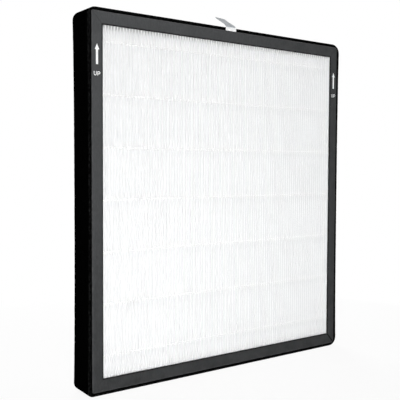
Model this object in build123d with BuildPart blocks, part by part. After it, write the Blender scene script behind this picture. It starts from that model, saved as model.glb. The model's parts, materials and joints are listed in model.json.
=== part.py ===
from build123d import *
import os
from math import cos, radians, sin, sqrt

os.makedirs("parts", exist_ok=True)

# A framed, pleated panel filter with a foam gasket and a pull tab.
# Millimetres, +Z up. The front faces -Y, and the origin is the middle of the lower side.

# Frame of folded board
FRAME_WIDTH = 344.0  # left to right, over the board
FRAME_HEIGHT = 368.0  # bottom to top, over the board
FRAME_DEPTH = 30.0  # front flange to rear flange, over the board
BOARD = 0.8  # thickness of the board
SIDE_FLANGE = 12.1  # width of the left and right flanges, front and rear
END_FLANGE = 13.0  # width of the top and bottom flanges, front and rear
CORNER_RADIUS = 2.0  # outer corners of the frame
FOLD_RADIUS = 0.8  # rounded fold between a side wall and its flanges
MITRE_GAP = 0.08  # tight joint where two rails meet at a corner
CLOSING_GAP = 0.6  # open joint at the lower right corner, where the folded board begins and ends

# Foam gasket round the frame
FOAM = 3.1  # thickness on the straight sides
FOAM_UPPER_LEFT = 1.7  # thickness left where a strip is pulled round a corner, more or less tightly
FOAM_UPPER_RIGHT = 0.8
FOAM_LOWER_LEFT = 3.1
FOAM_LOWER_RIGHT = 1.1
FOAM_INSET = 0.5  # the strips' edges stand back from the flange faces
GLUE_LINE = 0.1  # adhesive under the strips
FOAM_JOINT = 0.3  # butt joints between the ends of the two strips
FOAM_JOINT_OFFSET = -30.0  # place of both joints, to the left of the middle and of the tab

# Pleat pack
PLEAT_PITCH = 3.43  # wanted distance between folds, made to fit a whole number of them
MEDIA = 0.4  # thickness of the filter sheet
FOLD_INSIDE = 0.4  # clear width inside a fold
PACK_SETBACK = 0.5  # from the inside of each flange to the folds
SIDE_SEAL = 0.7  # glue between the outermost leg and a side rail
END_SEAL = 3.0  # glue that closes the pleat ends in the top and bottom rails

# Separator beads across the folds
BEAD_PITCH = 51.0  # distance between rows
BEAD_OFFSET = 3.0  # the rows sit this much above the middle of the frame
BEAD_END_MARGIN = 20.0  # least distance from a row to the ends of the pleats
BEAD_HEIGHT = 2.0  # height of one bead
BEAD_PROUD = 0.3  # how far a bead stands out over the folds
BEAD_TOOTH = 8.0  # how deep it runs in between two folds
BEAD_CLEARANCE = 0.05  # from the glue to the sheet

# Pull tab on the top rail
TAB_WIDTH = 14.5
TAB_THICKNESS = 0.3
TAB_OFFSET = 0.6  # set by hand, a little to the right of the middle
TAB_CHANNEL = 0.4  # depth of the channel pressed into the top rail for the root
TAB_SIDE_CLEARANCE = 0.3  # from the strip to the sides of that channel
TAB_ROOT_LENGTH = 18.0  # glued length under the foam
TAB_FOAM_CLEARANCE = 0.1  # from the upright leg to the edge of the foam
TAB_FOLD_RADIUS = 0.6  # where the root turns up in front of the foam
TAB_HINGE_GAP = 0.4  # from the bending line to the root, and to the flap
TAB_START_ANGLE = 52.0  # flap's slope where it leaves the bending line
TAB_END_ANGLE = 30.0  # flap's slope on its straight length
TAB_BEND_RADIUS = 14.0  # flap's curve between those slopes
TAB_FREE_LENGTH = 18.0  # straight length of the flap
TAB_CORNER_RADIUS = 1.6  # free corners of the flap

# Places that several pieces share
FOAM_EDGE = FOAM + GLUE_LINE
FRAME_BOTTOM = FOAM_EDGE
FRAME_TOP = FRAME_BOTTOM + FRAME_HEIGHT
FRAME_MIDDLE = FRAME_BOTTOM + FRAME_HEIGHT / 2
FOAM_TOP = FRAME_TOP + FOAM_EDGE
FRONT_FACE = -FRAME_DEPTH / 2
FOAM_FRONT = FRONT_FACE + FOAM_INSET
INSIDE_WIDTH = FRAME_WIDTH - 2 * BOARD
INSIDE_HEIGHT = FRAME_HEIGHT - 2 * BOARD
INSIDE_DEPTH = FRAME_DEPTH - 2 * BOARD
INSIDE_RADIUS = CORNER_RADIUS - BOARD
MIDDLE = Plane(origin=(0, 0, FRAME_MIDDLE), x_dir=(1, 0, 0), z_dir=(0, -1, 0))

# Frame ring, cut into four rails along the mitres
with BuildPart() as frame_ring:
    with BuildSketch(MIDDLE):
        RectangleRounded(FRAME_WIDTH, FRAME_HEIGHT, CORNER_RADIUS)
    extrude(amount=FRAME_DEPTH / 2, both=True)
    front_edges = frame_ring.faces().sort_by(Axis.Y)[0].edges()
    rear_edges = frame_ring.faces().sort_by(Axis.Y)[-1].edges()
    fillet(front_edges + rear_edges, FOLD_RADIUS)
    with BuildSketch(MIDDLE):
        RectangleRounded(INSIDE_WIDTH, INSIDE_HEIGHT, INSIDE_RADIUS)
    extrude(amount=INSIDE_DEPTH / 2, both=True, mode=Mode.SUBTRACT)
    with BuildSketch(MIDDLE):
        Rectangle(FRAME_WIDTH - 2 * SIDE_FLANGE, FRAME_HEIGHT - 2 * END_FLANGE)
    extrude(amount=FRAME_DEPTH / 2, both=True, mode=Mode.SUBTRACT)
    with BuildSketch(Plane.XY.offset(FRAME_TOP)):
        with Locations((TAB_OFFSET, FRONT_FACE)):
            Rectangle(
                TAB_WIDTH + 2 * TAB_SIDE_CLEARANCE,
                TAB_ROOT_LENGTH + FOAM_INSET + TAB_SIDE_CLEARANCE,
                align=(Align.CENTER, Align.MIN),
            )
    extrude(amount=-TAB_CHANNEL, mode=Mode.SUBTRACT)

# Each rail is named with the direction, in X and Z, that it faces, and each corner with the two that meet there
CLOSING_CORNER = (1, -1)
RAILS = {
    "rail_top": (0, 1),
    "rail_right": (1, 0),
    "rail_bottom": (0, -1),
    "rail_left": (-1, 0),
}
for name, (out_x, out_z) in RAILS.items():
    with BuildPart() as rail:
        add(frame_ring.part)
        for side in (-1, 1):
            end_x = side * out_z
            end_z = side * out_x
            corner_x = out_x + end_x
            corner_z = out_z + end_z
            corner = Vector(corner_x * FRAME_WIDTH / 2, 0, FRAME_MIDDLE + corner_z * FRAME_HEIGHT / 2)
            inward = Vector((out_x - end_x) * END_FLANGE, 0, (out_z - end_z) * SIDE_FLANGE).normalized()
            gap = CLOSING_GAP if (corner_x, corner_z) == CLOSING_CORNER else MITRE_GAP
            mitre = Plane(origin=corner + inward * gap / 2, z_dir=inward)
            split(bisect_by=mitre, keep=Keep.TOP)
    rail.part.label = name
    export_step(rail.part, f"parts/{name}.step")

# Foam gasket: a ring whose outer corners are rounder where the foam is thinner, cut into two strips
FOAM_CORNERS = {
    (-1, 1): FOAM_UPPER_LEFT,
    (1, 1): FOAM_UPPER_RIGHT,
    (-1, -1): FOAM_LOWER_LEFT,
    (1, -1): FOAM_LOWER_RIGHT,
}
foam_width = FRAME_WIDTH + 2 * FOAM_EDGE
foam_height = FRAME_HEIGHT + 2 * FOAM_EDGE
foam_depth = FRAME_DEPTH - 2 * FOAM_INSET
corner_reach = sqrt(2) * (FOAM_EDGE + CORNER_RADIUS) - CORNER_RADIUS - GLUE_LINE
with BuildPart() as foam_ring:
    with BuildSketch(MIDDLE) as foam_outline:
        Rectangle(foam_width, foam_height)
        for (corner_x, corner_z), thickness in FOAM_CORNERS.items():
            corner = (corner_x * foam_width / 2, corner_z * foam_height / 2)
            sharp_corner = foam_outline.vertices().sort_by_distance(corner)[0]
            fillet(sharp_corner, (corner_reach - thickness) / (sqrt(2) - 1))
        RectangleRounded(
            FRAME_WIDTH + 2 * GLUE_LINE,
            FRAME_HEIGHT + 2 * GLUE_LINE,
            CORNER_RADIUS + GLUE_LINE,
            mode=Mode.SUBTRACT,
        )
    extrude(amount=foam_depth / 2, both=True)

FOAM_STRIPS = {"foam_strip_left": -1, "foam_strip_right": 1}
for name, side in FOAM_STRIPS.items():
    with BuildPart() as foam_strip:
        add(foam_ring.part)
        joint = Plane(origin=(FOAM_JOINT_OFFSET + side * FOAM_JOINT / 2, 0, 0), z_dir=(side, 0, 0))
        split(bisect_by=joint, keep=Keep.TOP)
    foam_strip.part.label = name
    export_step(foam_strip.part, f"parts/{name}.step")

# Pleat pack: one sheet, with flat creased folds and a straight leg at each end
fold = FOLD_INSIDE + 2 * MEDIA
pack_width = INSIDE_WIDTH - 2 * SIDE_SEAL
pack_bottom = FRAME_BOTTOM + BOARD + END_SEAL
pack_height = INSIDE_HEIGHT - 2 * END_SEAL
front_folds = FRONT_FACE + BOARD + PACK_SETBACK
rear_folds = -front_folds
fold_count = round((pack_width - fold) / PLEAT_PITCH) + 1
pitch = (pack_width - fold) / (fold_count - 1)
first_fold = -(pack_width - fold) / 2
front_xs = [first_fold + pitch * i for i in range(fold_count)]
rear_xs = [x + pitch / 2 for x in front_xs[:-1]]


def sheet_side(outer_xs, outer_y, inner_xs, inner_y):
    """One side of the sheet, left to right: over each outer fold and round inside the next inner one."""
    points = []
    for i, x in enumerate(outer_xs):
        points += [(x - fold / 2, outer_y), (x + fold / 2, outer_y)]
        if i < len(inner_xs):
            x = inner_xs[i]
            points += [(x - FOLD_INSIDE / 2, inner_y), (x + FOLD_INSIDE / 2, inner_y)]
    return points


front_side = sheet_side(front_xs, front_folds, rear_xs, rear_folds - MEDIA)
rear_side = sheet_side(rear_xs, rear_folds, front_xs[1:-1], front_folds + MEDIA)
left_leg = [
    (front_xs[0] + FOLD_INSIDE / 2, front_folds + MEDIA),
    (front_xs[0] - FOLD_INSIDE / 2, front_folds + MEDIA),
    (front_xs[0] - FOLD_INSIDE / 2, rear_folds),
    (front_xs[0] - fold / 2, rear_folds),
]
right_leg = [(-x, y) for x, y in reversed(left_leg)]
with BuildPart() as pleat_pack:
    with BuildSketch(Plane.XY.offset(pack_bottom)):
        with BuildLine():
            Polyline(*front_side, *right_leg, *reversed(rear_side), *left_leg, close=True)
        make_face()
    extrude(amount=pack_height)
pleat_pack.part.label = "pleat_pack"
export_step(pleat_pack.part, "parts/pleat_pack.step")

# Separator beads: a strip over the folds with one tooth in each gap between them
lean = (pitch - fold - FOLD_INSIDE) / 2 / (rear_folds - front_folds - MEDIA)
row_count = int((pack_height - 2 * (BEAD_END_MARGIN + abs(BEAD_OFFSET))) / BEAD_PITCH) + 1
first_row = FRAME_MIDDLE + BEAD_OFFSET - BEAD_PITCH * (row_count - 1) / 2


def bead_outline(fold_xs, folds_y, inward):
    """The bead seen from above. Inward is the direction, along Y, from the folds into the pack."""
    base_y = folds_y - inward * BEAD_CLEARANCE
    tip_y = folds_y + inward * BEAD_TOOTH
    end_x = pack_width / 2 - BEAD_CLEARANCE
    points = [(-end_x, base_y)]
    for x in fold_xs[:-1]:
        left = x + fold / 2 + BEAD_CLEARANCE
        right = x + pitch - fold / 2 - BEAD_CLEARANCE
        narrowing = lean * BEAD_TOOTH
        points += [(left, base_y), (left + narrowing, tip_y), (right - narrowing, tip_y), (right, base_y)]
    outer_y = base_y - inward * BEAD_PROUD
    points += [(end_x, base_y), (end_x, outer_y), (-end_x, outer_y)]
    return points


BEADS = {
    "front_bead": bead_outline(front_xs, front_folds, 1),
    "rear_bead": bead_outline(rear_xs, rear_folds, -1),
}
for kind, outline in BEADS.items():
    for row in range(row_count):
        with BuildPart() as bead:
            with BuildSketch(Plane.XY.offset(first_row + BEAD_PITCH * row - BEAD_HEIGHT / 2)):
                with BuildLine():
                    Polyline(*outline, close=True)
                make_face()
            extrude(amount=BEAD_HEIGHT)
        bead.part.label = f"{kind}_{row + 1}"
        export_step(bead.part, f"parts/{kind}_{row + 1}.step")

# Glue that closes the pleat ends in the top and bottom rails
END_SEALS = {
    "end_seal_bottom": FRAME_BOTTOM + BOARD,
    "end_seal_top": FRAME_TOP - BOARD - END_SEAL,
}
for name, height in END_SEALS.items():
    with BuildPart() as end_seal:
        with BuildSketch(Plane.XY.offset(height)):
            Rectangle(INSIDE_WIDTH - 2 * INSIDE_RADIUS, INSIDE_DEPTH)
        extrude(amount=END_SEAL)
    end_seal.part.label = name
    export_step(end_seal.part, f"parts/{name}.step")

# Glue between the outermost pleat legs and the side rails
side_seal_height = INSIDE_HEIGHT - 2 * max(END_SEAL, INSIDE_RADIUS)
SIDE_SEALS = {
    "side_seal_left": -INSIDE_WIDTH / 2,
    "side_seal_right": INSIDE_WIDTH / 2 - SIDE_SEAL,
}
for name, inner_x in SIDE_SEALS.items():
    with BuildPart() as side_seal:
        with BuildSketch(Plane.YZ.offset(inner_x)):
            with Locations((0, FRAME_MIDDLE)):
                Rectangle(INSIDE_DEPTH, side_seal_height)
        extrude(amount=SIDE_SEAL)
    side_seal.part.label = name
    export_step(side_seal.part, f"parts/{name}.step")

# Pull tab: the glued root runs under the foam and turns up in front of its edge
TAB_PLANE = Plane.YZ.offset(TAB_OFFSET)
leg_y = FOAM_FRONT - TAB_FOAM_CLEARANCE - TAB_THICKNESS / 2
root_z = FRAME_TOP - TAB_CHANNEL + TAB_THICKNESS / 2
hinge_z = FOAM_TOP + TAB_HINGE_GAP
with BuildPart() as pull_tab_root:
    with BuildSketch(TAB_PLANE):
        with BuildLine():
            FilletPolyline(
                (FOAM_FRONT + TAB_ROOT_LENGTH, root_z),
                (leg_y, root_z),
                (leg_y, FOAM_TOP),
                radius=TAB_FOLD_RADIUS,
            )
        trace(line_width=TAB_THICKNESS)
    extrude(amount=TAB_WIDTH / 2, both=True)
pull_tab_root.part.label = "pull_tab_root"
export_step(pull_tab_root.part, "parts/pull_tab_root.step")

# The free flap curves up and back from the bending line at the top of the leg
start_slope = Vector(cos(radians(TAB_START_ANGLE)), sin(radians(TAB_START_ANGLE)))
flap_start = Vector(leg_y, hinge_z) + start_slope * TAB_HINGE_GAP
with BuildPart() as pull_tab:
    with BuildSketch(TAB_PLANE):
        with BuildLine():
            bend = JernArc(flap_start, start_slope, TAB_BEND_RADIUS, TAB_END_ANGLE - TAB_START_ANGLE)
            PolarLine(bend @ 1, TAB_FREE_LENGTH, direction=bend % 1)
        trace(line_width=TAB_THICKNESS)
    extrude(amount=TAB_WIDTH / 2, both=True)
    tip_edges = pull_tab.faces().sort_by(Axis.Z)[-1].edges().filter_by(Axis.X, reverse=True)
    fillet(tip_edges, TAB_CORNER_RADIUS)
pull_tab.part.label = "pull_tab"
export_step(pull_tab.part, "parts/pull_tab.step")

print("folds", fold_count, "pitch", round(pitch, 3), "bead rows", row_count)
print("bending line of the tab at y", round(leg_y, 3), "z", round(hinge_z, 3))
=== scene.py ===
# %% [markdown]
# # A framed, pleated air filter
# On the bench this is a flat cartridge: a frame of dark folded board, one long white sheet folded into
# a hundred pleats, rows of glue that keep the pleats apart, a black foam strip round the edge, and a
# film tab to pull it by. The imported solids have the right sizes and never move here. The lesson dresses
# them: soft things become surfaces worked out with numpy, and every surface gets a finish made of
# shader nodes.

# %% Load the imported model
import json
import math

import bpy
import numpy as np
from mathutils import Matrix, Vector


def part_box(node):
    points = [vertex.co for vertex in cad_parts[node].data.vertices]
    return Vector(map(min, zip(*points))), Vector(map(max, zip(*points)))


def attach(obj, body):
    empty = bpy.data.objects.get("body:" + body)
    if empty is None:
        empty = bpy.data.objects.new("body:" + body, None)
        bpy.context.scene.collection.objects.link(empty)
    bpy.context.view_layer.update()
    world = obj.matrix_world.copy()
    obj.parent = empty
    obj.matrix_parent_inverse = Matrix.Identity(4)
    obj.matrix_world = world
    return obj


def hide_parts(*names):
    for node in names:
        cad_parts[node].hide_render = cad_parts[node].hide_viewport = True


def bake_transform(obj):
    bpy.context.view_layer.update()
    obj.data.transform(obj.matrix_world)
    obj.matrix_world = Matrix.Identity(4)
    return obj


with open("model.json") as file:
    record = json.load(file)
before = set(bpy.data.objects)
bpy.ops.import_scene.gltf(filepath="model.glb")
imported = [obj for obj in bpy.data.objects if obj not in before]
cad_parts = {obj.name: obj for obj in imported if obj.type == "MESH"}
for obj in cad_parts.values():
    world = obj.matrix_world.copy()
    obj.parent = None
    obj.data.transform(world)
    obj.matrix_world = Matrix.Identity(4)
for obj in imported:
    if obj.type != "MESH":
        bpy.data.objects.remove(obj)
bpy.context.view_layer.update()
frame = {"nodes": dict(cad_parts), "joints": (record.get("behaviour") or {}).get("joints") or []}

MM = 0.001

# %% [markdown]
# ## The camera
# The picture is taken from the left, a little above the middle of the filter. Four frame corners are
# enough to find where a camera must stand to draw them in their places. It could be aimed with a Track
# To constraint, but a matrix made from three angles says exactly the same in one step and keeps the
# small roll.

# %% Camera
IMAGE_SIDE = 400  # pixels, both ways
FOCAL_PIXELS = 716.16
SENSOR_WIDTH = 36.0  # mm
CAMERA_PLACE = (-0.5096, -0.6167, 0.2221)
CAMERA_AZIMUTH = -37.879  # degrees, negative is left of the filter
CAMERA_ELEVATION = 2.58
CAMERA_ROLL = 0.224


def camera_matrix(place, azimuth, elevation, roll):
    """A camera looks along its own -Z. Back points from the filter to the camera by the two angles,
    right is level and square to it, up is square to both, and the roll turns right and up about
    back."""
    az, el, turn = np.radians((azimuth, elevation, roll))
    back = np.array((np.sin(az) * np.cos(el), -np.cos(az) * np.cos(el), np.sin(el)))
    right = np.array((np.cos(az), np.sin(az), 0.0))
    up = np.cross(back, right)
    matrix = np.eye(4)
    matrix[:3, 0] = np.cos(turn) * right + np.sin(turn) * up
    matrix[:3, 1] = np.cos(turn) * up - np.sin(turn) * right
    matrix[:3, 2] = back
    matrix[:3, 3] = place
    return Matrix(matrix.tolist())


camera = bpy.data.objects.new("camera", bpy.data.cameras.new("camera"))
bpy.context.scene.collection.objects.link(camera)
camera.data.sensor_width = SENSOR_WIDTH
camera.data.lens = FOCAL_PIXELS * camera.data.sensor_width / IMAGE_SIDE
camera.matrix_world = camera_matrix(CAMERA_PLACE, CAMERA_AZIMUTH, CAMERA_ELEVATION, CAMERA_ROLL)
bpy.context.scene.camera = camera
print("camera lens in mm:", round(camera.data.lens, 2))

# %% [markdown]
# ## Short ways to make nodes and meshes
# A finish is a tree of nodes, and a shape is a grid of points. Both could be made by hand in the
# editors. A few small helpers keep the cells below short: one adds a node and links it, one numbers the
# squares of a grid, and one turns points and faces into a mesh whose faces point outwards.


# %% Node helpers
def add_node(tree, kind, inputs=None, **settings):
    """A node with its settings. Each input is linked if it is given a socket, and set if it is given a
    value."""
    made = tree.nodes.new(kind)
    for name, value in settings.items():
        setattr(made, name, value)
    for name, value in (inputs or {}).items():
        if isinstance(value, bpy.types.NodeSocket):
            tree.links.new(value, made.inputs[name])
        else:
            made.inputs[name].default_value = value
    return made


def calculate(tree, operation, *values):
    """One step of arithmetic on numbers or sockets."""
    return add_node(tree, "ShaderNodeMath", dict(enumerate(values)), operation=operation).outputs[0]


def fade(tree, value, start, end):
    """A mask that rises softly from 0 where value is start to 1 where it is end."""
    limits = {"Value": value, "From Min": start, "From Max": end}
    return add_node(tree, "ShaderNodeMapRange", limits, interpolation_type="SMOOTHSTEP").outputs["Result"]


def mix_colour(tree, factor, first, second):
    """First colour where factor is 0, second where it is 1."""
    inputs = {"Factor": factor, 6: first, 7: second}
    return add_node(tree, "ShaderNodeMix", inputs, data_type="RGBA").outputs[2]


def grey(value, warm=0.0):
    """A colour of that brightness; warm lifts red and lowers blue by that share."""
    return (value * (1 + warm), value, value * (1 - warm), 1.0)


# %% Mesh helpers
def grid_quads(rows, columns, closed=False):
    """Corner numbers of a grid's squares. Point (r, c) has number r * columns + c; a closed grid joins
    its last column to its first."""
    r = np.arange(rows - 1)[:, None] * columns
    c = np.arange(columns if closed else columns - 1)[None, :]
    after = (c + 1) % columns
    return np.stack((r + c, r + after, r + after + columns, r + c + columns), axis=-1).reshape(-1, 4)


def tube_faces(rows, columns):
    """A closed tube: rows are its rings, and one flat face closes each end."""
    first_ring = list(range(columns))[::-1]
    last_ring = list(range((rows - 1) * columns, rows * columns))
    return grid_quads(rows, columns, closed=True).tolist() + [first_ring, last_ring]


def add_piece(name, points, faces, crease=180.0):
    """A mesh object with outward faces. The signed volume, a sum of thin pyramids from the origin, says
    whether the faces point in; edges that turn more than crease degrees stay sharp."""
    mesh = bpy.data.meshes.new(name)
    mesh.from_pydata(np.reshape(points, (-1, 3)).tolist(), [], faces)
    mesh.calc_loop_triangles()
    corners = np.zeros(len(mesh.loop_triangles) * 3, int)
    mesh.loop_triangles.foreach_get("vertices", corners)
    a, b, c = np.reshape(points, (-1, 3))[corners].reshape(-1, 3, 3).transpose(1, 0, 2)
    volume = np.einsum("ij,ij->", a, np.cross(b, c)) / 6
    if volume < 0:
        mesh.flip_normals()
    mesh.shade_smooth()
    if crease < 180.0:
        mesh.set_sharp_from_angle(angle=math.radians(crease))
    piece = bpy.data.objects.new(name, mesh)
    bpy.context.scene.collection.objects.link(piece)
    print(f"{name}: {len(mesh.loop_triangles)} triangles, {abs(volume) / MM**3 / 1000:.2f} cm3")
    return piece


def dress(piece, finish, replaced=(), body="panel"):
    """Gives a new piece its finish, hides the solids it stands for and attaches it to the body it
    rides on."""
    piece.data.materials.append(finish)
    if replaced:
        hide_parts(*replaced)
    if body:
        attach(piece, body)


# %% [markdown]
# ## Three effects that several finishes share
# Real surfaces are never one colour: board and sheet are cloudy, paper and non-woven cloth show fibres,
# and foam, glue and ink have tiny holes. Each effect could be drawn again in every material. A node
# group is drawn once and placed with its own values, so the scale of the fibres can differ while the
# way they are made stays the same.

# %% Effects as node groups
CLOUD_LAYERS = {"Detail": 5.0, "Roughness": 0.6}
CLOUD_RANGE = (0.32, 0.68)  # the low and high values that such noise usually has
FIBRE_SLANTS = (0.6, -0.75)  # radians
FIBRE_SQUEEZE = (1.0, 1.0, 0.14)  # shrinks the coordinate along a fibre, which draws the fibre out
FIBRE_LAYERS = {"Detail": 2.0, "Distortion": 0.6}
FIBRE_RANGE = (0.42, 0.7)
CELL_LAYERS = ((1.0, 0.42, 0.14), (0.43, 0.3, 0.1))  # share of the scale, where a hole ends and is full
SPECK_SOCKETS = ({"Vector": "Vector", "Scale": "Float"}, {"Mask": "Float"})  # of fibres and of cells


def start_group(name, inputs, outputs):
    """An empty node group with named sockets, its input node's sockets and its output node."""
    tree = bpy.data.node_groups.new(name, "ShaderNodeTree")
    for label, kind in inputs.items():
        tree.interface.new_socket(label, in_out="INPUT", socket_type="NodeSocket" + kind)
    for label, kind in outputs.items():
        tree.interface.new_socket(label, in_out="OUTPUT", socket_type="NodeSocket" + kind)
    return tree, tree.nodes.new("NodeGroupInput").outputs, tree.nodes.new("NodeGroupOutput").inputs


def make_cloudy_tone():
    """Two colours that drift into each other: layered noise, stretched between its usual low and high
    values."""
    sockets = {"Vector": "Vector", "Scale": "Float", "Dark": "Color", "Light": "Color"}
    tree, given, result = start_group("cloudy_tone", sockets, {"Color": "Color", "Mask": "Float"})
    noise = {"Vector": given["Vector"], "Scale": given["Scale"], **CLOUD_LAYERS}
    clouds = fade(tree, add_node(tree, "ShaderNodeTexNoise", noise).outputs["Fac"], *CLOUD_RANGE)
    tree.links.new(mix_colour(tree, clouds, given["Dark"], given["Light"]), result["Color"])
    tree.links.new(clouds, result["Mask"])
    return tree


def make_fine_fibres():
    """Fibres lying in two directions: noise that is stretched seven times along a slanted line, twice,
    and the higher of the two is kept where they cross."""
    tree, given, result = start_group("fine_fibres", *SPECK_SOCKETS)
    layers = []
    for slant in FIBRE_SLANTS:
        turned = {"Vector": given["Vector"], "Rotation": (slant, slant / 2, -slant), "Scale": FIBRE_SQUEEZE}
        place = add_node(tree, "ShaderNodeMapping", turned).outputs["Vector"]
        noise = {"Vector": place, "Scale": given["Scale"], **FIBRE_LAYERS}
        layers.append(fade(tree, add_node(tree, "ShaderNodeTexNoise", noise).outputs["Fac"], *FIBRE_RANGE))
    tree.links.new(calculate(tree, "MAXIMUM", *layers), result["Mask"])
    return tree


def make_open_cells():
    """Small round holes of mixed size: the distance to the nearest scattered point, near 0 inside a
    hole, with a second scatter of larger holes laid over it."""
    tree, given, result = start_group("open_cells", *SPECK_SOCKETS)
    layers = []
    for share, end, full in CELL_LAYERS:
        scale = calculate(tree, "MULTIPLY", given["Scale"], share)
        scatter = add_node(tree, "ShaderNodeTexVoronoi", {"Vector": given["Vector"], "Scale": scale})
        layers.append(fade(tree, scatter.outputs["Distance"], end, full))
    tree.links.new(calculate(tree, "MAXIMUM", *layers), result["Mask"])
    return tree


CLOUDY_TONE = make_cloudy_tone()
FINE_FIBRES = make_fine_fibres()
OPEN_CELLS = make_open_cells()
print("node groups:", [g.name for g in bpy.data.node_groups])


# %% A finish and its helpers
def start_finish(name, gloss=0.0):
    """A new material, its tree, its shader and Object coordinates, which stay put on the piece."""
    material = bpy.data.materials.new(name)
    material.use_nodes = True
    tree = material.node_tree
    shader = tree.nodes["Principled BSDF"]
    shader.inputs["Specular IOR Level"].default_value = gloss
    place = add_node(tree, "ShaderNodeTexCoord").outputs["Object"]
    return material, tree, shader, place


def cloudy(tree, place, scale, dark=grey(0.0), light=grey(1.0)):
    """The cloudy tone with about scale clouds to a metre: its colour, and its mask from 0 to 1."""
    inputs = {"Vector": place, "Scale": scale, "Dark": dark, "Light": light}
    return add_node(tree, "ShaderNodeGroup", inputs, node_tree=CLOUDY_TONE).outputs


def speckled(tree, group, place, scale):
    """The mask of one of the other two effects, with about scale fibres or cells to a metre."""
    inputs = {"Vector": place, "Scale": scale}
    return add_node(tree, "ShaderNodeGroup", inputs, node_tree=group).outputs["Mask"]


def tinted(tree, colour, mask, share, other):
    """A colour that goes a share of the way to another one where the mask is 1."""
    return mix_colour(tree, calculate(tree, "MULTIPLY", mask, share), colour, other)


def between(tree, mask, low, high):
    """A number that runs from low where the mask is 0 to high where it is 1."""
    return calculate(tree, "MULTIPLY_ADD", mask, high - low, low)


def axes_of(tree, place):
    """The three coordinates of a place."""
    return add_node(tree, "ShaderNodeSeparateXYZ", {"Vector": place}).outputs


def set_surface(tree, shader, colour, roughness, height, relief):
    """Links colour and roughness, and turns height, 0 to 1, into a bump that is relief metres deep."""
    bump = add_node(tree, "ShaderNodeBump", {"Height": height, "Distance": relief, "Strength": 1.0})
    tree.links.new(colour, shader.inputs["Base Color"])
    tree.links.new(roughness, shader.inputs["Roughness"])
    tree.links.new(bump.outputs["Normal"], shader.inputs["Normal"])


# %% [markdown]
# ## The board frame
# The four rails are dark grey board, folded into channels and mitred at the corners. Their solids are
# right, so they stay and only get a finish. Plain dark grey would look like moulded plastic. Board is
# cloudy and shows short fibres. Along its folds it is paler, partly rubbed and partly a painted highlight,
# and along the window and in the mitres it carries lines of painted shade. These lines could be painted by
# hand, but masks from the distance to the folds, to the window and to the mitres find them all by
# themselves.

# %% Frame sizes
RAILS = ("rail_top", "rail_right", "rail_bottom", "rail_left")
frame_low = Vector((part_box("rail_left")[0].x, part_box("rail_left")[0].y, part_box("rail_bottom")[0].z))
frame_high = Vector((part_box("rail_right")[1].x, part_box("rail_left")[1].y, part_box("rail_top")[1].z))
frame_middle = (frame_low + frame_high) / 2
frame_half = (frame_high - frame_low) / 2
window_half_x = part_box("rail_right")[0].x - frame_middle.x
window_half_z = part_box("rail_top")[0].z - frame_middle.z
print("frame half sizes in mm:", [round(v / MM, 2) for v in frame_half])
print("window half sizes in mm:", round(window_half_x / MM, 2), round(window_half_z / MM, 2))


def from_middle(tree, place):
    """The three coordinates of a place, from the middle of the frame."""
    moved = add_node(tree, "ShaderNodeMapping", {"Vector": place, "Location": -frame_middle})
    return axes_of(tree, moved.outputs["Vector"])


def refinish(nodes, finish):
    """Gives a finish to solids that stay as they are."""
    for node in nodes:
        materials = frame["nodes"][node].data.materials
        materials.clear()
        materials.append(finish)
    print("finish:", finish.name, "on", ", ".join(nodes))


# %% Board finish
BOARD_TONES = (grey(0.017, -0.03), grey(0.029, -0.03))  # dark and light clouds
BOARD_CLOUDS = 60.0  # to a metre, and so are the other counts of clouds, fibres and cells
BOARD_FIBRE = grey(0.044, -0.02)
BOARD_FIBRES = 1500.0
BOARD_FIBRE_SHARE = 0.35
# paler along the folds: rubbed board and a painted highlight
BOARD_RUBBED_AND_HIGHLIT = grey(0.065, -0.02)
# near black: painted shade along the window's edge and in the mitres
BOARD_PAINTED_SHADE = grey(0.003)
BOARD_INSIDE = grey(0.25, 0.02)
BOARD_GLOSS = 0.095
BOARD_ROUGH = (0.44, 0.56)  # roughness of dark and light clouds
BOARD_RELIEF = 0.02 * MM
RUB_AND_HIGHLIGHT_BAND = (1.6 * MM, 0.4 * MM)  # from a fold, where the rubbing and painted highlight start and where they are full
RUB_AND_HIGHLIGHT_CLOUDS = 220.0
RUB_AND_HIGHLIGHT_SHARES = (0.2, 0.7)  # the least and the most rubbing and painted highlight along a fold
WINDOW_SHADE_BAND = (1.7 * MM, 0.425 * MM)  # from the window, where the painted shade line starts and is full
# how dark the painted shade along the window gets
WINDOW_SHADE_SHARE = 0.9
ROUGHER_LINES = 0.45  # what a dark line adds to the roughness
MITRE_BAND = (0.1, 0.045)  # shares of a rail's width from a mitre, where its painted shade line starts and is full
MITRE_FAINT = 0.1  # how much of the mitre's painted shade shows where the board closes well
SKIN = (0.7 * MM, 0.77 * MM)  # from the outer faces, where the dark print ends and the pale inside begins


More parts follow.
